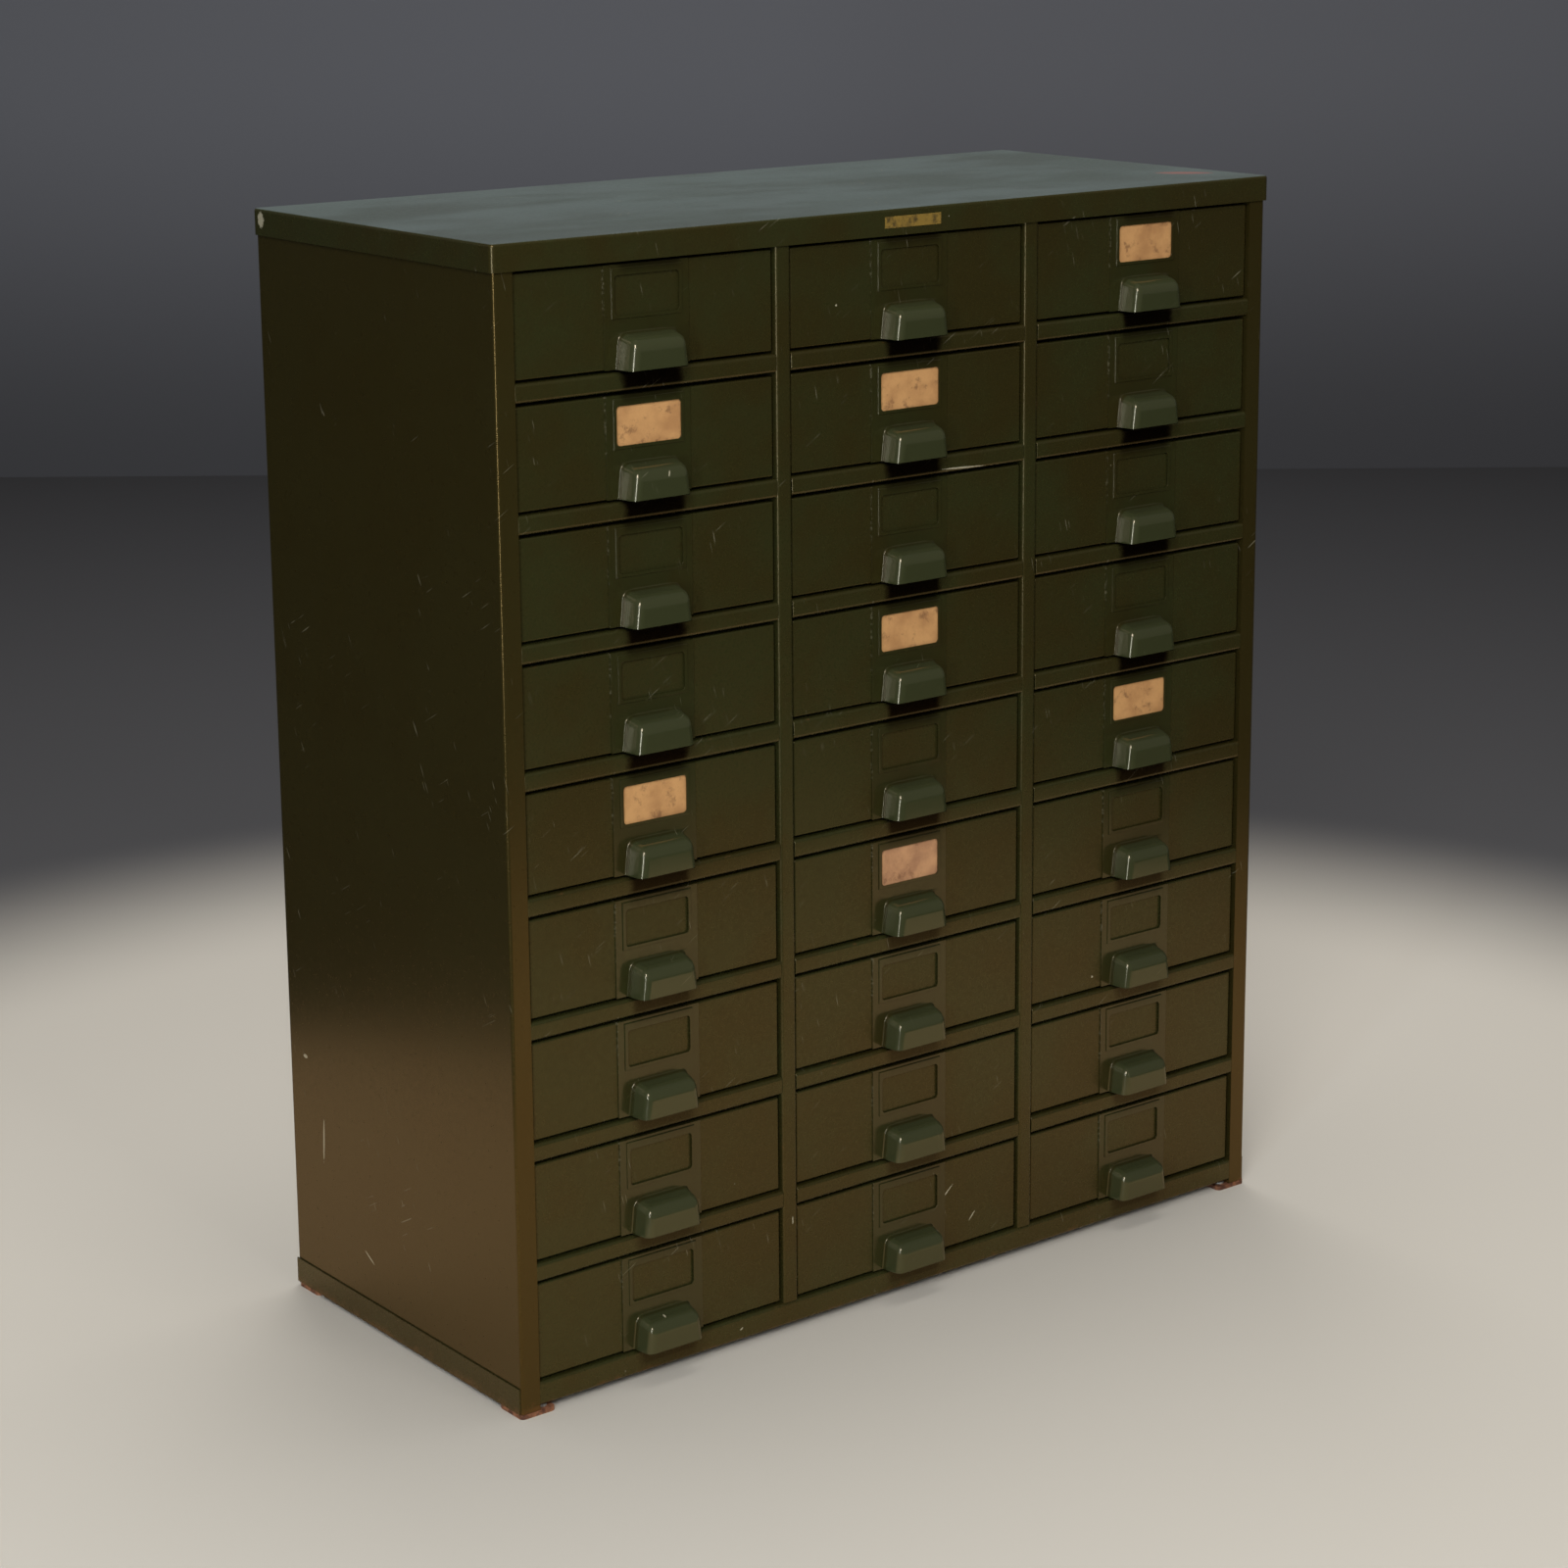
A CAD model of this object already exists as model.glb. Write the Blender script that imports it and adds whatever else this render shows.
"""Looks of a steel parts cabinet: nine rows of three drawers with hooded pulls, in aged olive enamel."""

import logging
import math
from collections.abc import Callable, Iterator
from contextlib import contextmanager
from dataclasses import dataclass, field
from enum import Enum

import bmesh
import bpy
from mathutils import Matrix, Vector


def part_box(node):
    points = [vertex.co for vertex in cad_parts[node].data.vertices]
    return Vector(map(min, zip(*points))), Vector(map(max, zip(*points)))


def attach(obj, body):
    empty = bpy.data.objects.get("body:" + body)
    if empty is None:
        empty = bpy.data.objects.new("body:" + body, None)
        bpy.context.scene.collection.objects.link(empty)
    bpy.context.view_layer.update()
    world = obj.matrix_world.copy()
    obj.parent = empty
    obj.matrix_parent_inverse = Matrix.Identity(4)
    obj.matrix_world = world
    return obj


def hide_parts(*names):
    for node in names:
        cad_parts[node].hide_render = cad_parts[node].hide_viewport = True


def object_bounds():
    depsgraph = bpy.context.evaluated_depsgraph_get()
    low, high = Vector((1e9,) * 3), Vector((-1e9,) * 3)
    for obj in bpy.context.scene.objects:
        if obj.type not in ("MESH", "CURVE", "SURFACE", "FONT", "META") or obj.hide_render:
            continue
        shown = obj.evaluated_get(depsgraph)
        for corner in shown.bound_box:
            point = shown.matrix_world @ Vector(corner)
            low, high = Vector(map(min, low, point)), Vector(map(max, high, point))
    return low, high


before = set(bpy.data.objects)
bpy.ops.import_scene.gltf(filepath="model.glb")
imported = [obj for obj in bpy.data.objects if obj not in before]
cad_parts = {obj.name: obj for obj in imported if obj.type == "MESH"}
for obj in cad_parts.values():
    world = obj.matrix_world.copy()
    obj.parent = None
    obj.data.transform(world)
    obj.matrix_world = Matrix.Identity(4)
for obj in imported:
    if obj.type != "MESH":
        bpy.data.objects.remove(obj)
cad_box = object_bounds()

log = logging.getLogger("parts_cabinet")

MM = 0.001
ROWS = range(1, 10)
COLUMNS = range(1, 4)

Point = tuple[float, float, float]
Colour = tuple[float, float, float, float]


class Side(Enum):
    """A side of an upright block, by the way it faces."""

    LEFT = (-1, 0, 0)
    RIGHT = (1, 0, 0)
    FRONT = (0, -1, 0)
    BACK = (0, 1, 0)
    BELOW = (0, 0, -1)
    ABOVE = (0, 0, 1)


# --- modelling


def deselect() -> None:
    """Clears the selection of objects."""
    bpy.ops.object.select_all(action="DESELECT")


def take(piece: bpy.types.Object) -> None:
    """Makes one piece the only selected and active object."""
    deselect()
    piece.select_set(True)
    bpy.context.view_layer.objects.active = piece


@contextmanager
def editing(piece: bpy.types.Object) -> Iterator[None]:
    """Edit mode on one piece, with nothing selected at the start.

    Args:
        piece: The mesh object to edit.
    """
    take(piece)
    bpy.ops.object.mode_set(mode="EDIT")
    bpy.ops.mesh.select_mode(type="VERT")
    bpy.ops.mesh.select_all(action="DESELECT")
    yield
    bpy.ops.object.mode_set(mode="OBJECT")


def pick(piece: bpy.types.Object, kind: str, test: Callable[[object], bool]) -> None:
    """Selects the points, edges or faces that pass a test, and nothing else.

    Args:
        piece: The mesh object in edit mode.
        kind: VERT, EDGE or FACE.
        test: Says whether an edge, a face or the point at a place is wanted.
    """
    bpy.ops.mesh.select_all(action="DESELECT")
    bpy.ops.mesh.select_mode(type=kind)
    mesh = bmesh.from_edit_mesh(piece.data)
    for part in {"VERT": mesh.verts, "EDGE": mesh.edges, "FACE": mesh.faces}[kind]:
        part.select_set(test(part.co if kind == "VERT" else part))
    if kind == "VERT":
        mesh.select_flush(True)
    bmesh.update_edit_mesh(piece.data)


def near(value: float, target: float, reach: float = 1e-5) -> bool:
    """True where two lengths are the same but for rounding."""
    return abs(value - target) < reach


def add_block(name: str, low: Vector, high: Vector) -> bpy.types.Object:
    """An upright block to be shaped further.

    Args:
        name: The piece's name.
        low: Its lowest corner.
        high: Its highest corner.

    Returns:
        The block, with its place in its mesh.
    """
    deselect()
    bpy.ops.mesh.primitive_cube_add(size=1, location=(low + high) / 2)
    block = bpy.context.object
    block.name = name
    block.scale = high - low
    settle(block)
    return block


def settle(piece: bpy.types.Object) -> None:
    """Puts a piece's place, turn and scale into its mesh."""
    take(piece)
    bpy.ops.object.transform_apply(location=True, rotation=True, scale=True)


def finish_with(piece: bpy.types.Object, kind: str, **settings: object) -> None:
    """Adds a modifier and applies it.

    Args:
        piece: The mesh object.
        kind: The modifier's type.
        settings: The modifier's own values.
    """
    take(piece)
    modifier = piece.modifiers.new(kind.lower(), kind)
    for key, value in settings.items():
        setattr(modifier, key, value)
    bpy.ops.object.modifier_apply(modifier=modifier.name)


def give_wall(piece: bpy.types.Object, sheet: float) -> None:
    """Gives an outer skin the thickness of its sheet, inwards."""
    finish_with(piece, "SOLIDIFY", thickness=sheet, offset=-1.0, use_even_offset=True)


def smooth_bends(piece: bpy.types.Object, angle: float = 40.0) -> None:
    """Smooth bends beside flat faces.

    Args:
        piece: The mesh object.
        angle: Edges sharper than this, in degrees, stay sharp.
    """
    take(piece)
    bpy.ops.object.shade_smooth_by_angle(angle=math.radians(angle))
    finish_with(piece, "WEIGHTED_NORMAL", keep_sharp=True)


@dataclass
class FoldedSheet:
    """A box-like piece folded from one sheet: some sides are open and the folds are round.

    Attributes:
        name: The piece's name.
        low: Its lowest corner.
        high: Its highest corner.
        open_sides: The sides that have no sheet.
        sheet: The sheet's thickness.
        fold_radius: The outside radius of its folds.
        rim_radius: How far the cut edges are softened.
    """

    name: str
    low: Vector
    high: Vector
    open_sides: tuple[Side, ...]
    sheet: float
    fold_radius: float = 1.4 * MM
    rim_radius: float = 0.25 * MM

    def build(self) -> bpy.types.Object:
        """Models the sheet and returns it."""
        piece = add_block(self.name, self.low, self.high)
        missing = [Vector(side.value) for side in self.open_sides]
        with editing(piece):
            pick(piece, "FACE", lambda face: any(face.normal.dot(way) > 0.9 for way in missing))
            bpy.ops.mesh.delete(type="FACE")
            pick(piece, "EDGE", lambda edge: len(edge.link_faces) == 2)
            bpy.ops.mesh.bevel(offset=self.fold_radius, segments=4, affect="EDGES")
        give_wall(piece, self.sheet)
        finish_with(piece, "BEVEL", width=self.rim_radius, segments=1, limit_method="ANGLE",
                    angle_limit=math.radians(60))
        smooth_bends(piece)
        return piece


@dataclass
class PullPlate:
    """The stamping on a drawer front: a plate with a raised card pocket above a hooded pull.

    It is modelled with x 0 in the drawer's middle, y 0 on the drawer front and z 0 at its lower edge.
    """

    width: float = 78 * MM
    height: float = 78 * MM
    sheet: float = 1 * MM
    window_width: float = 59.5 * MM
    window_height: float = 30 * MM
    window_lift: float = 40 * MM
    window_radius: float = 3 * MM
    pocket_raise: float = 1 * MM
    pocket_side: float = 2.8 * MM
    pocket_below: float = 2.5 * MM
    pocket_above: float = 6 * MM
    pocket_rounding: float = 0.6 * MM
    hood_width: float = 58 * MM
    hood_height: float = 27 * MM
    hood_flare: float = 3 * MM
    hood_taper: float = 2.5 * MM
    hood_fall: float = 4 * MM
    hood_reach: float = 20 * MM
    nose_radius: float = 9 * MM
    corner_radius: float = 6 * MM
    root_radius: float = 1.1 * MM
    rim_rounding: float = 0.22 * MM

    def build(self) -> bpy.types.Object:
        """Models the stamping and returns it."""
        deselect()
        middle = (0, -self.sheet, self.height / 2)
        bpy.ops.mesh.primitive_plane_add(size=1, location=middle, rotation=(math.pi / 2, 0, 0))
        plate = bpy.context.object
        plate.name = "pull_plate"
        plate.scale = (self.width, self.height, 1)
        settle(plate)
        with editing(plate):
            self._mark_out(plate)
            self._raise_pocket(plate)
            self._draw_hood(plate)
        finish_with(plate, "BEVEL", width=self.nose_radius, segments=6, limit_method="WEIGHT")
        with editing(plate):
            self._soften_root(plate)
        give_wall(plate, self.sheet)
        finish_with(plate, "BEVEL", width=self.rim_rounding, segments=1, limit_method="ANGLE",
                    angle_limit=math.radians(55))
        smooth_bends(plate, 50)
        return plate

    @property
    def _pocket_half(self) -> float:
        """Half the width of the raised pocket."""
        return self.window_width / 2 + self.pocket_side

    @property
    def _window_top(self) -> float:
        """Height of the window's upper edge."""
        return self.window_lift + self.window_height

    @property
    def _pocket_span(self) -> tuple[float, float]:
        """Heights of the pocket's lower and upper edge."""
        return self.window_lift - self.pocket_below, self._window_top + self.pocket_above

    def _mark_out(self, plate: bpy.types.Object) -> None:
        """Cuts the plate along the edges of its pocket and hood."""
        low, high = self._pocket_span
        for z in (self.hood_height, low, high):
            bpy.ops.mesh.select_all(action="SELECT")
            bpy.ops.mesh.bisect(plane_co=(0, 0, z), plane_no=(0, 0, 1))
        for half, below, above in ((self.hood_width / 2, 0, self.hood_height), (self._pocket_half, low, high)):
            for x in (-half, half):
                pick(plate, "FACE", lambda face: below < face.calc_center_median().z < above)
                bpy.ops.mesh.bisect(plane_co=(x, 0, 0), plane_no=(1, 0, 0))

    def _raise_pocket(self, plate: bpy.types.Object) -> None:
        """Raises the card pocket and cuts its round-cornered window."""
        low, high = self._pocket_span
        half = self._pocket_half

        def in_pocket(face: bmesh.types.BMFace) -> bool:
            """True for a face of the pocket's area."""
            centre = face.calc_center_median()
            return abs(centre.x) < half and low < centre.z < high

        pick(plate, "FACE", in_pocket)
        bpy.ops.mesh.extrude_region_move(TRANSFORM_OT_translate={"value": (0, -self.pocket_raise, 0)})
        bpy.ops.mesh.inset(thickness=self.pocket_side)
        front = -self.sheet - self.pocket_raise
        side = self.window_width / 2
        window_area = self.window_width * self.window_height
        for inset, target in ((low + self.pocket_side, self.window_lift), (high - self.pocket_side, self._window_top)):
            pick(plate, "VERT", lambda at: near(at.y, front) and near(at.z, inset))
            bpy.ops.transform.translate(value=(0, 0, target - inset))
        pick(plate, "VERT", lambda at: near(at.y, front) and near(abs(at.x), side)
                    and (near(at.z, self.window_lift) or near(at.z, self._window_top)))
        bpy.ops.mesh.bevel(offset=self.window_radius, segments=5, affect="VERTICES")
        pick(plate, "FACE", lambda face: face.calc_area() > 0.8 * window_area
                   and near(face.calc_center_median().y, front))
        bpy.ops.mesh.delete(type="FACE")

        def is_rim(edge: bmesh.types.BMEdge) -> bool:
            """True for an edge of the pocket's outer rim."""
            a, b = (point.co for point in edge.verts)
            if not (near(a.y, front) and near(b.y, front)):
                return False
            upright = near(abs(a.x), half) and near(a.x, b.x)
            level = near(a.z, b.z) and (near(a.z, low) or near(a.z, high))
            return upright or level

        pick(plate, "EDGE", is_rim)
        bpy.ops.mesh.bevel(offset=self.pocket_rounding, segments=3, affect="EDGES")

    def _draw_hood(self, plate: bpy.types.Object) -> None:
        """Draws the hood out of the plate, opens it below and marks its round edges."""
        half, top, back = self.hood_width / 2, self.hood_height, -self.sheet
        upper = half - self.hood_flare

        def in_hood(face: bmesh.types.BMFace) -> bool:
            """True for a face of the hood's area."""
            centre = face.calc_center_median()
            return abs(centre.x) < upper and centre.z < top

        for side in (-1, 1):
            pick(plate, "VERT", lambda at: near(at.x, side * half) and near(at.z, top) and near(at.y, back))
            bpy.ops.transform.translate(value=(-side * self.hood_flare, 0, 0))
        pick(plate, "FACE", in_hood)
        nose = self.hood_reach - self.sheet
        bpy.ops.mesh.extrude_region_move(TRANSFORM_OT_translate={"value": (0, -nose, 0)})
        front = -self.hood_reach
        for side in (-1, 1):
            pick(plate, "VERT", lambda at: at.x * side > 0 and near(at.y, front))
            bpy.ops.transform.translate(value=(-side * self.hood_taper, 0, 0))
        pick(plate, "VERT", lambda at: near(at.z, top) and near(at.y, front))
        bpy.ops.transform.translate(value=(0, 0, -self.hood_fall))
        pick(plate, "FACE", lambda face: face.normal.z < -0.9 and face.calc_center_median().z < 1e-4)
        bpy.ops.mesh.delete(type="FACE")
        nose_top = top - self.hood_fall

        def is_nose(edge: bmesh.types.BMEdge) -> bool:
            """True for the edge between the hood's top and its face."""
            return all(near(point.co.y, front) and near(point.co.z, nose_top) for point in edge.verts)

        def is_corner(edge: bmesh.types.BMEdge) -> bool:
            """True for an edge between the hood's ends and its face or top."""
            a, b = (point.co for point in edge.verts)
            upright = near(a.y, front) and near(b.y, front) and abs(a.z - b.z) > top / 2
            outwards = abs(a.y - b.y) > nose / 2 and min(a.z, b.z) > top / 2
            return upright or outwards

        pick(plate, "EDGE", is_nose)
        bpy.ops.transform.edge_bevelweight(value=1.0)
        pick(plate, "EDGE", is_corner)
        bpy.ops.transform.edge_bevelweight(value=self.corner_radius / self.nose_radius)

    def _soften_root(self, plate: bpy.types.Object) -> None:
        """Rounds the joint between the hood and the plate."""
        back = -self.sheet

        def is_root(edge: bmesh.types.BMEdge) -> bool:
            """True for an edge where the hood leaves the plate."""
            if len(edge.link_faces) != 2 or edge.verts[0].co.z > self.hood_height + 1e-4:
                return False
            in_plane = all(near(point.co.y, back) for point in edge.verts)
            flat = [near(abs(face.normal.y), 1, 0.02) for face in edge.link_faces]
            return in_plane and flat.count(True) == 1

        pick(plate, "EDGE", is_root)
        bpy.ops.mesh.bevel(offset=self.root_radius, segments=3, affect="EDGES")


def copy_to(pattern: bpy.types.Object, name: str, place: Vector) -> bpy.types.Object:
    """A copy of a pattern piece with its own mesh, moved to its place.

    Args:
        pattern: The piece to copy.
        name: The copy's name.
        place: Where the pattern's zero point goes.

    Returns:
        The copy.
    """
    take(pattern)
    bpy.ops.object.duplicate(linked=False)
    copy = bpy.context.object
    copy.name = name
    copy.data.name = name
    copy.location = place
    settle(copy)
    return copy


# --- finishes


def tone(red: int, green: int, blue: int) -> Colour:
    """A colour given as it looks on screen, each channel 0 to 255."""
    return tuple(((c / 255 + 0.055) / 1.055) ** 2.4 if c > 10 else c / 3295 for c in (red, green, blue)) + (1.0,)


class Sketch:
    """Adds shader nodes to one tree and joins them."""

    def __init__(self, tree: bpy.types.NodeTree) -> None:
        """Keeps the tree.

        Args:
            tree: A material's or a group's node tree.
        """
        self.tree = tree

    def add(self, kind: str, inputs: dict | None = None, **settings: object) -> bpy.types.Node:
        """Adds a node.

        Args:
            kind: The node's type.
            inputs: Values or sockets for its inputs, by name or number.
            settings: The node's own values.

        Returns:
            The node.
        """
        node = self.tree.nodes.new(kind)
        for key, value in settings.items():
            setattr(node, key, value)
        for key, value in (inputs or {}).items():
            self.feed(node.inputs[key], value)
        return node

    def feed(self, socket: bpy.types.NodeSocket, value: object) -> None:
        """Joins a socket to an input, or sets the input's own value."""
        if isinstance(value, bpy.types.NodeSocket):
            self.tree.links.new(value, socket)
        else:
            socket.default_value = value

    def sum(self, operation: str, *values: object, clamp: bool = False) -> bpy.types.NodeSocket:
        """The result of a Math node."""
        inputs = dict(enumerate(values))
        return self.add("ShaderNodeMath", inputs, operation=operation, use_clamp=clamp).outputs[0]

    def times(self, value: object, factor: object) -> bpy.types.NodeSocket:
        """One value times another."""
        return self.sum("MULTIPLY", value, factor)

    def axes(self, vector: object) -> bpy.types.NodeOutputs:
        """The three parts of a vector."""
        return self.add("ShaderNodeSeparateXYZ", {0: vector}).outputs

    def rise(self, value: object, low: float, high: float) -> bpy.types.NodeSocket:
        """A value that rises smoothly from 0 at low to 1 at high."""
        inputs = {"Value": value, "From Min": low, "From Max": high}
        node = self.add("ShaderNodeMapRange", inputs, interpolation_type="SMOOTHSTEP")
        return node.outputs["Result"]

    def noise(self, vector: object, scale: object, detail: float = 3.0, rough: float = 0.5) -> bpy.types.NodeSocket:
        """Cloud noise, 0 to 1."""
        inputs = {"Vector": vector, "Scale": scale, "Detail": detail, "Roughness": rough}
        return self.add("ShaderNodeTexNoise", inputs).outputs["Fac"]

    def blend(self, amount: object, below: object, above: object) -> bpy.types.NodeSocket:
        """A colour that goes from one to another."""
        node = self.add("ShaderNodeMix", data_type="RGBA")
        self.feed(node.inputs["Factor"], amount)
        self.feed(node.inputs[6], below)
        self.feed(node.inputs[7], above)
        return node.outputs[2]

    def stretch(self, vector: object, scale: Point, place: Point = (0, 0, 0)) -> bpy.types.NodeSocket:
        """Coordinates moved and scaled on each axis."""
        inputs = {"Vector": vector, "Scale": scale, "Location": place}
        return self.add("ShaderNodeMapping", inputs).outputs[0]

    def place(self) -> bpy.types.NodeSocket:
        """The piece's own coordinates, which are the cabinet's at rest."""
        return self.add("ShaderNodeTexCoord").outputs["Object"]

    def group(self, tree: bpy.types.NodeTree, **values: object) -> bpy.types.Node:
        """Places a node group, with its inputs by name."""
        node = self.add("ShaderNodeGroup", node_tree=tree)
        for key, value in values.items():
            self.feed(node.inputs[key.replace("_", " ")], value)
        return node


def new_group(name: str, inputs: dict[str, float], outputs: tuple[str, ...]) -> tuple[Sketch, dict, dict]:
    """Starts a node group of plain values.

    Args:
        name: The group's name.
        inputs: Its inputs, with their defaults.
        outputs: Its outputs.

    Returns:
        A sketch of the group, its input sockets and its output sockets, by name.
    """
    tree = bpy.data.node_groups.new(name, "ShaderNodeTree")
    for key, value in inputs.items():
        socket = tree.interface.new_socket(key, in_out="INPUT", socket_type="NodeSocketFloat")
        socket.default_value = value
    for key in outputs:
        tree.interface.new_socket(key, in_out="OUTPUT", socket_type="NodeSocketFloat")
    sketch = Sketch(tree)
    source = sketch.add("NodeGroupInput")
    sink = sketch.add("NodeGroupOutput")
    return sketch, {k: source.outputs[k] for k in inputs}, {k: sink.inputs[k] for k in outputs}


def new_material(name: str) -> tuple[bpy.types.Material, Sketch, bpy.types.Node]:
    """Starts a material.

    Args:
        name: Its name.

    Returns:
        The material, a sketch of its nodes and its shader.
    """
    made = bpy.data.materials.new(name)
    made.use_nodes = True
    return made, Sketch(made.node_tree), made.node_tree.nodes["Principled BSDF"]


@dataclass(frozen=True)
class Mark:
    """One chip, scratch or stain in its place on the cabinet.

    Attributes:
        at: Its middle, in metres.
        reach: Half its length on each axis before it is turned.
        turn: How far it is turned about each axis, in degrees.
    """

    at: Point
    reach: Point
    turn: Point = (0, 0, 0)


class Effects:
    """Shader groups that more than one finish uses, each built once.

    Attributes:
        grime_reach: Distances from its middle over which the grime round a pull fades out.
        grime_shift: How far the grime's middle lies right of the drawer's.
        plate_half: Half the width of the pull plate.
        hood_reach: Depths behind the noses of the pulls over which the hood's tone fades out.
        front_reach: Depth behind the noses that still counts as the cabinet's front.
    """

    grime_reach: tuple[float, float] = (27 * MM, 36 * MM)
    grime_shift: float = 3 * MM
    plate_half: float = 39 * MM
    hood_reach: tuple[float, float] = (14 * MM, 17 * MM)
    front_reach: float = 35 * MM

    def __init__(self) -> None:
        """Builds the groups."""
        self.edge_wear = self._edge_wear()
        self.mottle = self._mottle()
        self.specks = self._specks()
        self.scratches = self._scratches()
        self.paint_skin = self._paint_skin()
        self.drawer_place = self._drawer_place()
        self.pull_wear = self._pull_wear()
        self.low_rust = self._low_rust()
        self.settled_dust = self._settled_dust()

    def _edge_wear(self) -> bpy.types.NodeTree:
        """A mask of worn folds, where the surface turns between its flat faces."""
        s, given, out = new_group("edge_wear", {"Amount": 0.5, "Patch size": 60.0}, ("Mask",))
        normal = s.add("ShaderNodeNewGeometry").outputs["Normal"]
        parts = s.axes(normal)
        size = [s.sum("ABSOLUTE", part) for part in parts]
        most = s.sum("MAXIMUM", s.sum("MAXIMUM", size[0], size[1]), size[2])
        edge = s.rise(s.sum("SUBTRACT", 1.0, most), 0.02, 0.16)
        patches = s.noise(s.place(), given["Patch size"], 6.0, 0.65)
        limit = s.sum("SUBTRACT", 0.78, s.times(given["Amount"], 0.42))
        high = s.sum("ADD", limit, 0.05)
        worn = s.add("ShaderNodeMapRange", {"Value": patches, "From Min": limit, "From Max": high}).outputs["Result"]
        s.feed(out["Mask"], s.times(worn, edge))
        return s.tree

    def _mottle(self) -> bpy.types.NodeTree:
        """Broad and fine unevenness of old enamel."""
        s, given, out = new_group("enamel_mottle", {"Patch size": 9.0}, ("Broad", "Fine"))
        s.feed(out["Broad"], s.rise(s.noise(s.place(), given["Patch size"], 4.0, 0.6), 0.36, 0.66))
        s.feed(out["Fine"], s.noise(s.place(), 260.0, 4.0, 0.7))
        return s.tree

    def _specks(self) -> bpy.types.NodeTree:
        """Small pale specks and chips scattered over the paint."""
        s, given, out = new_group("paint_specks", {"Amount": 0.3, "Spacing": 55.0}, ("Mask",))
        cells = s.add("ShaderNodeTexVoronoi", {"Vector": s.place(), "Scale": given["Spacing"]})
        chance = s.add("ShaderNodeSeparateColor", {0: cells.outputs["Color"]}).outputs
        kept = s.sum("LESS_THAN", chance[0], given["Amount"])
        size = s.times(chance[1], 0.11)
        ragged = s.times(s.noise(s.place(), 900.0, 2.0), 0.1)
        reach = s.sum("ADD", cells.outputs["Distance"], ragged)
        dot = s.sum("LESS_THAN", reach, s.sum("ADD", size, 0.045))
        s.feed(out["Mask"], s.times(dot, kept))
        return s.tree

    def _scratches(self) -> bpy.types.NodeTree:
        """Fine pale scratches that lean both ways."""
        s, given, out = new_group("paint_scratches", {"Amount": 0.3}, ("Mask",))
        marks = []
        for lean, scale in ((0.5, (26.0, 26.0, 900.0)), (-1.1, (40.0, 40.0, 1100.0))):
            turned = s.add("ShaderNodeMapping", {"Vector": s.place(), "Rotation": (lean, lean, 0.3)}).outputs[0]
            marks.append(s.rise(s.noise(s.stretch(turned, scale), 1.0, 1.0), 0.73, 0.78))
        patches = s.rise(s.noise(s.place(), 14.0, 3.0, 0.6), 0.52, 0.66)
        lines = s.sum("MAXIMUM", marks[0], marks[1])
        s.feed(out["Mask"], s.times(s.times(lines, patches), given["Amount"]))
        return s.tree

    def _paint_skin(self) -> bpy.types.NodeTree:
        """Height of the paint's skin: slow waves of the sheet and fine orange peel."""
        s, given, out = new_group("paint_skin", {"Peel": 0.5, "Waves": 0.5}, ("Height",))
        waves = s.times(s.noise(s.place(), 7.0, 2.0), given["Waves"])
        peel = s.times(s.noise(s.place(), 420.0, 2.0), given["Peel"])
        s.feed(out["Height"], s.sum("ADD", waves, s.times(peel, 0.03)))
        return s.tree

    def _drawer_place(self) -> bpy.types.NodeTree:
        """Sideways and upward distance from each drawer's middle and lower edge, in metres."""
        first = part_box("drawer_r9_c1")
        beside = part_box("drawer_r9_c2")[0].x - first[0].x
        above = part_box("drawer_r8_c1")[0].z - first[0].z
        s, _, out = new_group("drawer_place", {}, ("Sideways", "Up"))
        x, _, z = s.axes(s.place())
        middle = (first[0].x + first[1].x) / 2
        across = s.sum("WRAP", s.sum("SUBTRACT", x, middle), beside / 2, -beside / 2)
        up = s.sum("WRAP", s.sum("SUBTRACT", z, first[0].z), above * 0.86, above * -0.14)
        s.feed(out["Sideways"], across)
        s.feed(out["Up"], up)
        return s.tree

    def _pull_wear(self) -> bpy.types.NodeTree:
        """Grime under each pull and over each plate, chips along the plate's left edge, and the hood's reach."""
        s, _, out = new_group("pull_wear", {}, ("Grime", "Chips", "Hood"))
        place = s.group(self.drawer_place).outputs
        _, depth, height = s.axes(s.place())
        behind = s.sum("SUBTRACT", depth, cad_box[0].y)
        s.feed(out["Hood"], s.sum("SUBTRACT", 1.0, s.rise(behind, *self.hood_reach)))
        ragged = s.times(s.noise(s.place(), 90.0, 4.0, 0.6), 9 * MM)
        side = s.sum("ADD", s.sum("ABSOLUTE", s.sum("SUBTRACT", place["Sideways"], self.grime_shift)), ragged)
        inside = s.sum("SUBTRACT", 1.0, s.rise(side, *self.grime_reach))
        below = s.sum("LESS_THAN", place["Up"], 0.5 * MM)
        above = s.times(s.rise(place["Up"], 68 * MM, 80 * MM), 0.5)
        by_hand = s.sum("ADD", 0.35, s.times(s.rise(height, 0.2, 0.5), 0.6))
        grime = s.times(s.times(inside, s.sum("MAXIMUM", below, above)), by_hand)
        under_head = s.sum("LESS_THAN", height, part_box("head_rail")[0].z + 1 * MM)
        at_front = s.sum("LESS_THAN", behind, self.front_reach)
        s.feed(out["Grime"], s.times(s.times(grime, under_head), at_front))
        edge = s.sum("ABSOLUTE", s.sum("ADD", place["Sideways"], self.plate_half))
        near_edge = s.sum("SUBTRACT", 1.0, s.rise(edge, 0.2 * MM, 1.1 * MM))
        upper = s.rise(place["Up"], 2 * MM, 60 * MM)
        odds = s.times(s.noise(s.place(), 420.0, 3.0, 0.7), s.sum("ADD", 0.8, s.times(upper, 0.25)))
        chips = s.times(s.rise(odds, 0.56, 0.62), near_edge)
        s.feed(out["Chips"], s.times(s.times(chips, at_front), 0.2))
        return s.tree

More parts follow.
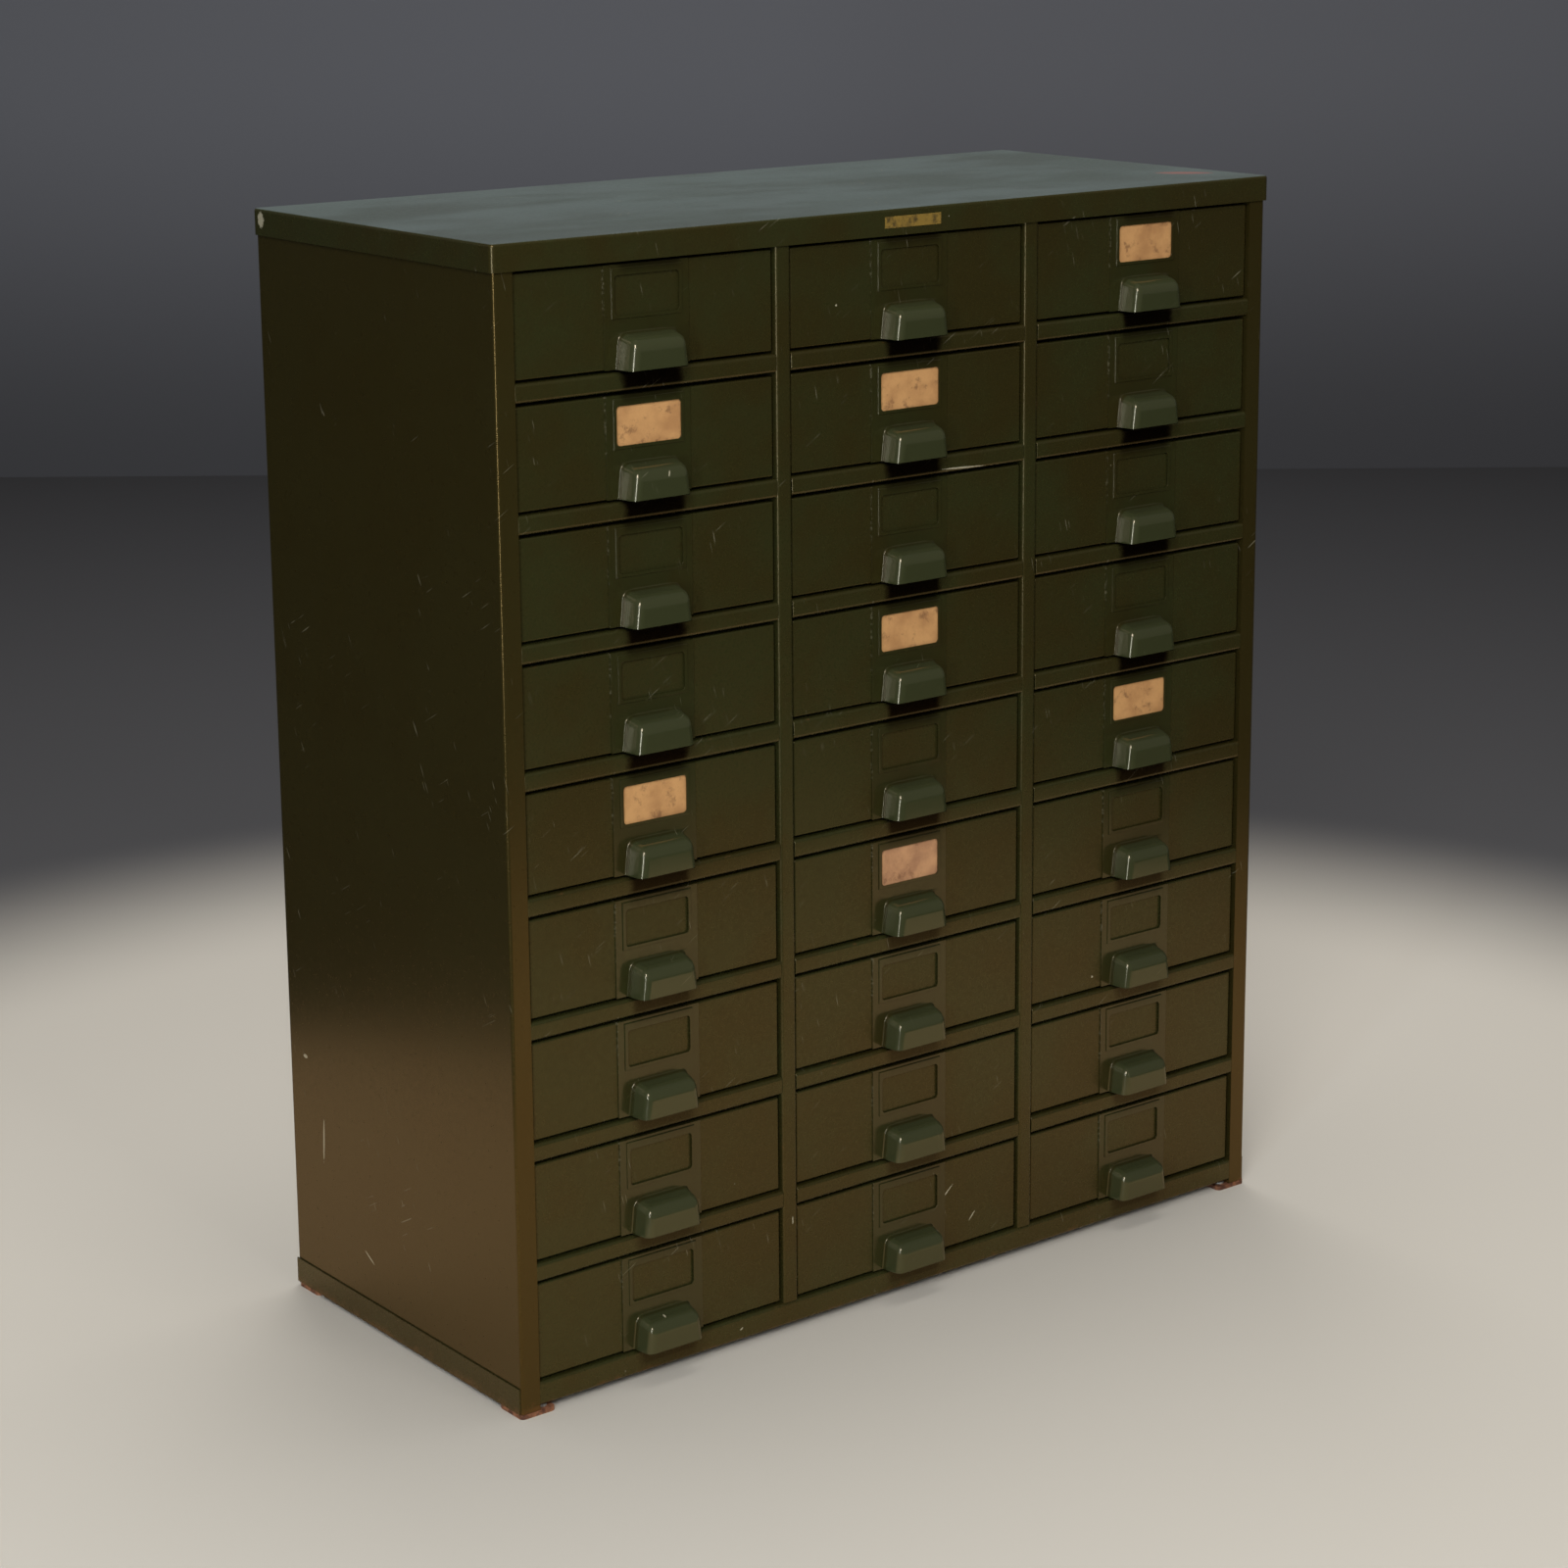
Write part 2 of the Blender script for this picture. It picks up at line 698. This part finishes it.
    def _low_rust(self) -> bpy.types.NodeTree:
        """Rust that creeps up from the floor."""
        s, _, out = new_group("low_rust", {}, ("Mask",))
        height = s.axes(s.place())[2]
        ragged = s.sum("ADD", height, s.times(s.noise(s.place(), 70.0, 5.0, 0.7), 30 * MM))
        s.feed(out["Mask"], s.sum("SUBTRACT", 1.0, s.rise(ragged, 16 * MM, 25 * MM)))
        return s.tree

    def placed(self, name: str, marks: tuple[Mark, ...]) -> bpy.types.NodeTree:
        """A mask of ragged marks at given places.

        Args:
            name: The group's name.
            marks: The marks.

        Returns:
            The group.
        """
        s, _, out = new_group(name, {}, ("Mask",))
        place = s.place()
        nearest = 9.0
        for mark in marks:
            inputs = {"Vector": place, "Location": mark.at, "Scale": mark.reach,
                      "Rotation": tuple(math.radians(angle) for angle in mark.turn)}
            local = s.add("ShaderNodeMapping", inputs, vector_type="TEXTURE").outputs[0]
            reach = s.add("ShaderNodeVectorMath", {0: local}, operation="LENGTH").outputs["Value"]
            nearest = s.sum("MINIMUM", nearest, reach)
        ragged = s.times(s.noise(place, 650.0, 4.0, 0.7), 0.9)
        s.feed(out["Mask"], s.sum("SUBTRACT", 1.0, s.rise(s.sum("ADD", nearest, ragged), 1.15, 1.3)))
        return s.tree

    def _settled_dust(self) -> bpy.types.NodeTree:
        """Dust on faces that look up, thinner in rubbed patches."""
        s, _, out = new_group("settled_dust", {}, ("Mask",))
        normal = s.add("ShaderNodeNewGeometry").outputs["Normal"]
        upward = s.rise(s.axes(normal)[2], 0.7, 0.97)
        rubbed = s.rise(s.noise(s.stretch(s.place(), (1.0, 2.2, 1.0)), 5.0, 5.0, 0.6), 0.34, 0.62)
        fine = s.noise(s.place(), 180.0, 4.0, 0.7)
        cover = s.sum("ADD", 0.5, s.times(s.sum("ADD", rubbed, fine), 0.25))
        s.feed(out["Mask"], s.times(upward, cover))
        return s.tree


@dataclass(frozen=True)
class Enamel:
    """Aged semi-gloss enamel on sheet steel.

    Attributes:
        name: The material's name.
        green: The paint's greener tone.
        brown: Its browner tone, in broad patches.
        pale: The tone of chips, specks and scratches.
        rust: The tone of worn folds.
        soot: The tone of grime.
        dust: The tone of the dust on faces that look up.
        hood: The tone of the pulls' hoods, rubbed by hands.
        sheen: The tint of its gloss, warm from old varnish.
        gloss: How strong its gloss is, 0 to 1.
        roughness: How dull its gloss is.
        wear: How much of the folds is worn, 0 to 1.
        specks: The share of places with a pale speck.
        marks: Chips and scratches in their places.
        stains: Stains in their places.
        stain: The stains' tone.
        drawn: Whether the finish has the grime and chips that lie round the pulls.
        dusty: How much dust lies on faces that look up, 0 to 1.
    """

    name: str
    green: Colour = tone(41, 42, 19)
    brown: Colour = tone(42, 37, 14)
    pale: Colour = tone(158, 150, 126)
    rust: Colour = tone(72, 50, 25)
    soot: Colour = tone(20, 11, 4)
    dust: Colour = tone(88, 98, 97)
    hood: Colour = tone(50, 53, 31)
    sheen: Colour = (1.0, 0.74, 0.40, 1.0)
    gloss: float = 0.7
    roughness: float = 0.23
    wear: float = 0.35
    specks: float = 0.05
    marks: tuple[Mark, ...] = ()
    stains: tuple[Mark, ...] = ()
    stain: Colour = tone(150, 84, 74)
    drawn: bool = False
    dusty: float = 0.0

    def material(self, effects: Effects) -> bpy.types.Material:
        """Builds the material.

        Args:
            effects: The shared shader groups.

        Returns:
            The material.
        """
        made, s, shader = new_material(self.name)
        mottle = s.group(effects.mottle)
        colour = s.blend(mottle.outputs["Broad"], self.green, self.brown)
        darker = tuple(0.7 * c for c in self.brown[:3]) + (1.0,)
        colour = s.blend(s.rise(mottle.outputs["Fine"], 0.45, 0.9), colour, darker)
        dull = s.times(s.rise(mottle.outputs["Fine"], 0.2, 0.8), 0.12)
        edges = s.group(effects.edge_wear, Amount=self.wear)
        colour = s.blend(s.times(edges.outputs["Mask"], 0.8), colour, self.rust)
        low = s.group(effects.low_rust).outputs["Mask"]
        colour = s.blend(low, colour, self.rust)
        marks = s.group(effects.specks, Amount=self.specks).outputs["Mask"]
        lines = s.group(effects.scratches, Amount=0.4).outputs["Mask"]
        marks = s.sum("MAXIMUM", marks, lines)
        if self.drawn:
            use = s.group(effects.pull_wear)
            colour = s.blend(use.outputs["Hood"], colour, self.hood)
            colour = s.blend(use.outputs["Grime"], colour, self.soot)
            # A nearly black metal reflects next to nothing, so the grime takes the gloss away.
            s.feed(shader.inputs["Metallic"], s.times(use.outputs["Grime"], 0.9))
            marks = s.sum("MAXIMUM", marks, use.outputs["Chips"])
        if self.dusty:
            dust = s.times(s.group(effects.settled_dust).outputs["Mask"], self.dusty)
            colour = s.blend(dust, colour, self.dust)
            dull = s.sum("ADD", dull, s.times(dust, 0.2))
        if self.stains:
            stained = s.group(effects.placed(f"{self.name}_stains", self.stains)).outputs["Mask"]
            colour = s.blend(s.times(stained, 0.5), colour, self.stain)
        if self.marks:
            marks = s.sum("MAXIMUM", marks, s.group(effects.placed(f"{self.name}_marks", self.marks)).outputs["Mask"])
        s.feed(shader.inputs["Base Color"], s.blend(marks, colour, self.pale))
        s.feed(shader.inputs["Roughness"], s.sum("ADD", dull, self.roughness))
        skin = s.group(effects.paint_skin).outputs["Height"]
        bump = s.add("ShaderNodeBump", {"Height": skin, "Strength": 0.18, "Distance": 0.0012})
        s.feed(shader.inputs["Normal"], bump.outputs[0])
        shader.inputs["Specular IOR Level"].default_value = self.gloss
        shader.inputs["Specular Tint"].default_value = self.sheen
        return made


@dataclass(frozen=True)
class CardStock:
    """Aged buff card, matt, stained and blank."""

    name: str = "card_stock"
    buff: Colour = tone(197, 147, 92)
    dark: Colour = tone(140, 92, 52)
    stain: Colour = tone(96, 60, 36)

    def material(self) -> bpy.types.Material:
        """Builds the material and returns it."""
        made, s, shader = new_material(self.name)
        broad = s.rise(s.noise(s.place(), 45.0, 4.0, 0.6), 0.35, 0.7)
        colour = s.blend(s.times(broad, 0.5), self.buff, self.dark)
        blots = s.rise(s.noise(s.stretch(s.place(), (1, 1, 1), (0.3, 0.1, 0.7)), 70.0, 5.0, 0.7), 0.54, 0.68)
        colour = s.blend(s.times(blots, 0.6), colour, self.stain)
        fibres = s.noise(s.place(), 1500.0, 3.0, 0.7)
        colour = s.blend(s.times(s.rise(fibres, 0.5, 0.8), 0.15), colour, self.stain)
        s.feed(shader.inputs["Base Color"], colour)
        s.feed(shader.inputs["Roughness"], s.sum("ADD", 0.75, s.times(fibres, 0.2)))
        bump = s.add("ShaderNodeBump", {"Height": fibres, "Strength": 0.2, "Distance": 0.0003})
        s.feed(shader.inputs["Normal"], bump.outputs[0])
        return made


@dataclass(frozen=True)
class CloudedFinish:
    """A finish of two tones in clouds, for rusted plate, dull zinc and rubbed film.

    Attributes:
        name: The material's name.
        tones: The tones of thin and of thick cloud.
        cloud: The clouds' scale, detail and roughness.
        change: The values of cloud between which the tones change.
        roughness: The least roughness, and how much the clouds add.
        metal: How metallic it is, 0 to 1.
        relief: The strength of its bump.
    """

    name: str
    tones: tuple[Colour, Colour]
    cloud: tuple[float, float, float]
    change: tuple[float, float]
    roughness: tuple[float, float]
    metal: float = 0.0
    relief: float = 0.0

    def material(self) -> bpy.types.Material:
        """Builds the material and returns it."""
        made, s, shader = new_material(self.name)
        cloud = s.noise(s.place(), *self.cloud)
        s.feed(shader.inputs["Base Color"], s.blend(s.rise(cloud, *self.change), *self.tones))
        s.feed(shader.inputs["Roughness"], s.sum("ADD", self.roughness[0], s.times(cloud, self.roughness[1])))
        shader.inputs["Metallic"].default_value = self.metal
        if self.relief:
            bump = s.add("ShaderNodeBump", {"Height": cloud, "Strength": self.relief, "Distance": 0.0008})
            s.feed(shader.inputs["Normal"], bump.outputs[0])
        return made


def dress(piece: bpy.types.Object, material: bpy.types.Material) -> None:
    """Gives a piece one finish all over."""
    piece.data.materials.clear()
    piece.data.materials.append(material)


# --- the cabinet

FRONT_MARKS = (
    Mark((0.055, -0.1613, 0.6962), (0.028, 0.003, 0.0009), (0, 2.6, 0)),
    Mark((0.2054, -0.1583, 0.2340), (0.0013, 0.003, 0.0013)),
    Mark((0.0400, -0.1583, 0.0760), (0.0130, 0.003, 0.0008), (0, -42, 0)),
    Mark((0.0700, -0.1583, 0.0500), (0.0060, 0.003, 0.0007), (0, -48, 0)),
    Mark((-0.1783, -0.1613, 0.0164), (0.0024, 0.003, 0.0008), (0, -30, 0)),
    Mark((-0.1250, -0.1613, 0.0963), (0.0007, 0.003, 0.0042)),
    Mark((0.1180, -0.1613, 0.0772), (0.0014, 0.003, 0.0014)),
    Mark((-0.0731, -0.1583, 0.8379), (0.0011, 0.003, 0.0011)),
)
PULL_MARKS = (
    Mark((-0.2302, -0.1703, 0.0359), (0.0035, 0.004, 0.0060)),
    Mark((-0.2600, -0.1690, 0.0530), (0.0010, 0.003, 0.0016), (0, 30, 0)),
    Mark((0.0229, -0.1683, 0.0490), (0.0030, 0.004, 0.0040)),
    Mark((-0.2487, -0.1773, 0.7286), (0.0007, 0.004, 0.0032), (0, 25, 0)),
)
SIDE_MARKS = (
    Mark((-0.3910, 0.1274, 0.1435), (0.003, 0.0013, 0.0240), (4, 0, 0)),
    Mark((-0.3910, 0.1524, 0.2104), (0.003, 0.0040, 0.0022)),
    Mark((-0.3910, 0.0600, 0.0620), (0.003, 0.0100, 0.0009), (30, 0, 0)),
)
CAP_MARKS = (Mark((-0.3925, 0.1660, 0.9010), (0.004, 0.0060, 0.0080)),)
CAP_STAINS = (Mark((0.3550, -0.1000, 0.9095), (0.030, 0.0110, 0.0100), (0, 0, -42)),)


@dataclass
class FrontFrame:
    """The bars of the front frame, with round folds in place of the frame's sharp ones."""

    sheet: float = 1.2 * MM
    fold_radius: float = 2.6 * MM
    ends_open: tuple[Side, ...] = (Side.LEFT, Side.RIGHT, Side.BACK)
    uprights_open: tuple[Side, ...] = (Side.BELOW, Side.ABOVE, Side.BACK)

    def build(self, paint: bpy.types.Material) -> None:
        """Models every bar.

        Args:
            paint: The frame's finish.
        """
        for node in ("head_rail", "base_rail"):
            self._bar(f"{node}_bar", *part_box(node), self.ends_open, node, paint)
        for node in ("left_mullion", "right_mullion"):
            self._bar(f"{node}_bar", *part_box(node), self.uprights_open, node, paint)
        for column in COLUMNS:
            self._cross_rails(column, paint)

    def _bar(self, name: str, low: Vector, high: Vector, sides: tuple[Side, ...], node: str,
             paint: bpy.types.Material) -> None:
        """Models one bar in the place of a node."""
        bar = FoldedSheet(name, low, high, sides, self.sheet, self.fold_radius).build()
        dress(bar, paint)
        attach(bar, "cabinet")
        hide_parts(node)
        log.info("modelled %s", bar.name)

    def _cross_rails(self, column: int, paint: bpy.types.Material) -> None:
        """Models the rails between the drawers of one column."""
        node = f"column_{column}_rails"
        low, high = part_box(node)
        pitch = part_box(f"drawer_r1_c{column}")[0].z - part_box(f"drawer_r2_c{column}")[0].z
        height = high.z - low.z - (len(ROWS) - 2) * pitch
        for row in ROWS[:-1]:
            top = high.z - (row - 1) * pitch
            self._bar(f"rail_r{row}_c{column}", Vector((low.x, low.y, top - height)), Vector((high.x, high.y, top)),
                      self.ends_open, node, paint)


@dataclass
class Drawers:
    """Twenty-seven drawers, each a front pan, a tray and a pull plate."""

    front_sheet: float = 1 * MM
    front_return: float = 12 * MM
    tray_sheet: float = 0.9 * MM
    tray_height: float = 70 * MM
    plate: PullPlate = field(default_factory=PullPlate)

    def build(self, paint: bpy.types.Material, pull_paint: bpy.types.Material) -> None:
        """Models the pieces once and copies them to every drawer.

        Args:
            paint: The finish of the fronts and trays.
            pull_paint: The finish of the pull plates.
        """
        patterns = {"front": self._front(), "tray": self._tray(), "pull": self.plate.build()}
        for kind, pattern in patterns.items():
            dress(pattern, pull_paint if kind == "pull" else paint)
        for row in ROWS:
            for column in COLUMNS:
                self._drawer(row, column, patterns)
        for pattern in patterns.values():
            bpy.data.objects.remove(pattern)

    def _sizes(self) -> tuple[float, float, float]:
        """Half the front's width, its height, and the tray's back from the front's face."""
        low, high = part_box("drawer_r1_c1")
        return (high.x - low.x) / 2, high.z - low.z, high.y - low.y - self.plate.hood_reach

    def _front(self) -> bpy.types.Object:
        """The front pan, its four edges turned back."""
        half, height, _ = self._sizes()
        low, high = Vector((-half, 0, 0)), Vector((half, self.front_return, height))
        return FoldedSheet("drawer_front", low, high, (Side.BACK,), self.front_sheet).build()

    def _tray(self) -> bpy.types.Object:
        """The open tray behind the front pan."""
        half, _, back = self._sizes()
        low = Vector((self.front_sheet - half, self.front_sheet, self.front_sheet))
        high = Vector((half - self.front_sheet, back, self.front_sheet + self.tray_height))
        return FoldedSheet("drawer_tray", low, high, (Side.ABOVE, Side.FRONT), self.tray_sheet).build()

    def _drawer(self, row: int, column: int, patterns: dict[str, bpy.types.Object]) -> None:
        """Places the pieces of one drawer."""
        node = f"drawer_r{row}_c{column}"
        low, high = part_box(node)
        place = Vector(((low.x + high.x) / 2, low.y + self.plate.hood_reach, low.z))
        for kind, pattern in patterns.items():
            piece = copy_to(pattern, f"{kind}_r{row}_c{column}", place)
            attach(piece, node)
            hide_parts(node)
        log.info("placed %s", node)


@dataclass
class Shell:
    """The nodes of the cabinet that keep their own shape and get a finish."""

    painted: tuple[str, ...] = ("top_cap", "left_side", "right_side", "back_panel", "floor_pan", "left_partition",
                                "right_partition", "left_skirt", "right_skirt", "column_1_runners",
                                "column_2_runners", "column_3_runners")

    def dress(self, finishes: dict[str, bpy.types.Material]) -> None:
        """Gives every kept node its finish.

        Args:
            finishes: The materials by name.
        """
        for name in self.painted:
            dress(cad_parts[name], finishes["enamel"])
        for name in ("top_cap", "left_side", "right_side"):
            dress(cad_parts[name], finishes[name])
        for name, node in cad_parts.items():
            if name.startswith("card_"):
                dress(node, finishes["rosy_card" if name == "card_r6_c2" else "card"])
        dress(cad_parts["corner_feet"], finishes["rust"])
        dress(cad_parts["foot_rivets"], finishes["zinc"])
        dress(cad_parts["name_label"], finishes["film"])


# --- the studio


@dataclass
class Studio:
    """A pale floor, a plain backdrop, soft lamps and the camera.
    """

    turn: float = -38.1064
    tilt: float = 12.875
    roll: float = -0.3763
    place: Point = (-1.7725, -2.2857, 1.1920)
    lens: float = 80.946
    shift: tuple[float, float] = (-0.01468, -0.09)
    floor_colour: Colour = tone(196, 189, 177)
    floor_warm: Colour = tone(196, 171, 137)
    floor_far: Colour = tone(76, 75, 76)
    floor_dark: Colour = tone(40, 37, 31)
    pale_reach: tuple[float, float] = (0.96, 1.5)
    mirrored_reach: tuple[float, float] = (0.96, 1.1)
    bright_spot: Point = (0.55, -0.8, 0)
    bright_reach: tuple[float, float] = (0.50, 0.72)
    wall_foot: Colour = tone(80, 80, 83)
    wall_colour: Colour = tone(114, 115, 120)
    wall_distance: float = 3.8
    wall_fade: float = 0.8
    world_colour: Colour = (0.12, 0.12, 0.125, 1.0)

    def build(self) -> None:
        """Sets up everything around the cabinet."""
        self._camera()
        self._floor()
        self._wall()
        self._lamp("key", (-2.4, -2.5, 2.7), 80, 1.0, 1.4)
        self._lamp("edge_strip", (-2.1, -1.5, 0.75), 20, 0.16, 1.4, colour=(0.78, 0.9, 1.0))
        self._lamp("fill", (0.0, -3.3, 2.3), 34, 1.4, 0.9, mirrored=False)
        self._lamp("top", (0.3, 0.3, 3.2), 62, 2.2, 2.2, mirrored=False)
        self._lamp("rear", (1.0, 1.9, 3.3), 22, 1.6, 1.2, mirrored=False)
        world = bpy.data.worlds.new("soft_room")
        world.use_nodes = True
        world.node_tree.nodes["Background"].inputs["Color"].default_value = self.world_colour
        bpy.context.scene.world = world
        bpy.context.scene.view_settings.view_transform = "Standard"

    def _camera(self) -> None:
        """Puts the camera where the photograph was taken from."""
        turn, tilt, roll = (math.radians(angle) for angle in (self.turn, self.tilt, self.roll))
        back = Vector((math.sin(turn) * math.cos(tilt), -math.cos(turn) * math.cos(tilt), math.sin(tilt)))
        across = Vector((0, 0, 1)).cross(back).normalized()
        up = back.cross(across)
        right = math.cos(roll) * across + math.sin(roll) * up
        upright = -math.sin(roll) * across + math.cos(roll) * up
        data = bpy.data.cameras.new("camera")
        data.lens, data.sensor_width = self.lens, 36
        data.shift_x, data.shift_y = self.shift
        camera = bpy.data.objects.new("camera", data)
        bpy.context.collection.objects.link(camera)
        turned = Matrix((right, upright, back)).transposed().to_4x4()
        camera.matrix_world = Matrix.Translation(self.place) @ turned
        bpy.context.scene.camera = camera

    def _sheet(self, name: str, size: float, place: Point, turn: Point) -> Sketch:
        """Adds a plain sheet that isn't part of the cabinet, and returns a sketch of its material."""
        deselect()
        bpy.ops.mesh.primitive_plane_add(size=size, location=place, rotation=turn)
        sheet = bpy.context.object
        sheet.name = name
        made, sketch, shader = new_material(name)
        shader.inputs["Roughness"].default_value = 0.9
        sheet.data.materials.append(made)
        return sketch

    def _floor(self) -> None:
        """A pale floor that darkens away from the cabinet and shows warmer in the old enamel's gloss."""
        s = self._sheet("floor", 30, (0, 0, 0), (0, 0, 0))
        place = s.place()
        away = [s.add("ShaderNodeVectorMath", {0: place, 1: middle}, operation="DISTANCE").outputs["Value"]
                for middle in ((0, 0, 0), self.bright_spot)]
        seen = s.blend(s.rise(away[0], *self.pale_reach), self.floor_colour, self.floor_far)
        far = s.sum("MINIMUM", s.rise(away[0], *self.mirrored_reach), s.rise(away[1], *self.bright_reach))
        in_gloss = s.blend(far, self.floor_warm, self.floor_dark)
        mirrored = s.add("ShaderNodeLightPath").outputs["Is Glossy Ray"]
        s.feed(s.tree.nodes["Principled BSDF"].inputs["Base Color"], s.blend(mirrored, seen, in_gloss))

    def _wall(self) -> None:
        """A plain backdrop square to the camera, darker near the floor."""
        turn = math.radians(self.turn)
        place = (-math.sin(turn) * self.wall_distance, math.cos(turn) * self.wall_distance, 3)
        s = self._sheet("backdrop", 16, place, (math.pi / 2, 0, turn))
        height = s.axes(s.place())[1]
        lift = s.rise(height, -place[2], self.wall_fade - place[2])
        s.feed(s.tree.nodes["Principled BSDF"].inputs["Base Color"], s.blend(lift, self.wall_foot, self.wall_colour))

    def _lamp(self, name: str, place: Point, power: float, width: float, height: float, mirrored: bool = True,
              colour: Point = (1, 1, 1)) -> None:
        """Adds one soft lamp that shines on the cabinet's middle.

        Args:
            name: The lamp's name.
            place: Where it hangs.
            power: Its power in watts.
            width: Its width.
            height: Its height.
            mirrored: Whether it shows in the cabinet's gloss.
            colour: The colour of its light.
        """
        data = bpy.data.lights.new(name, "AREA")
        data.shape, data.size, data.size_y, data.energy = "RECTANGLE", width, height, power
        lamp = bpy.data.objects.new(name, data)
        bpy.context.collection.objects.link(lamp)
        lamp.location = place
        aim = Vector((0, 0, 0.45)) - Vector(place)
        lamp.rotation_euler = aim.to_track_quat("-Z", "Y").to_euler()
        lamp.visible_camera = False
        lamp.visible_glossy = mirrored
        data.color = colour


def main() -> None:
    """Builds the cabinet's looks in order."""
    logging.basicConfig(level=logging.INFO, format="%(name)s: %(message)s")
    effects = Effects()
    side = Enamel("side_enamel", green=tone(43, 38, 16), brown=tone(42, 36, 14), sheen=(1.0, 0.6, 0.22, 1.0),
                  gloss=0.9, roughness=0.17, specks=0.12, marks=SIDE_MARKS).material(effects)
    finishes = {
        "enamel": Enamel("olive_enamel", marks=FRONT_MARKS, drawn=True).material(effects),
        "top_cap": Enamel("cap_enamel", wear=0.15, marks=CAP_MARKS, stains=CAP_STAINS, dusty=0.9).material(effects),
        "left_side": side,
        "right_side": side,
        "drawer": Enamel("drawer_enamel", wear=0.3, marks=FRONT_MARKS, drawn=True).material(effects),
        "pull": Enamel("pull_enamel", sheen=(1.0, 0.84, 0.62, 1.0), gloss=0.8, roughness=0.11, wear=0.2,
                       marks=PULL_MARKS, drawn=True).material(effects),
        "card": CardStock().material(),
        "rosy_card": CardStock("rosy_card", buff=tone(196, 146, 102), dark=tone(112, 66, 50)).material(),
        "rust": CloudedFinish("rusted_steel", (tone(74, 42, 26), tone(150, 98, 66)), (120.0, 6.0, 0.7), (0.38, 0.62),
                              (0.7, 0.25), relief=0.6).material(),
        "zinc": CloudedFinish("zinc_rivet", (tone(205, 203, 196), tone(140, 136, 126)), (300.0, 4.0, 0.6), (0.4, 0.65),
                              (0.35, 0.3), metal=0.85).material(),
        "film": CloudedFinish("blank_label", (tone(128, 102, 44), tone(66, 54, 27)), (160.0, 5.0, 0.65), (0.42, 0.7),
                              (0.3, 0.3)).material(),
    }
    Shell().dress(finishes)
    FrontFrame().build(finishes["enamel"])
    Drawers().build(finishes["drawer"], finishes["pull"])
    Studio().build()


if __name__ == "__main__":
    main()
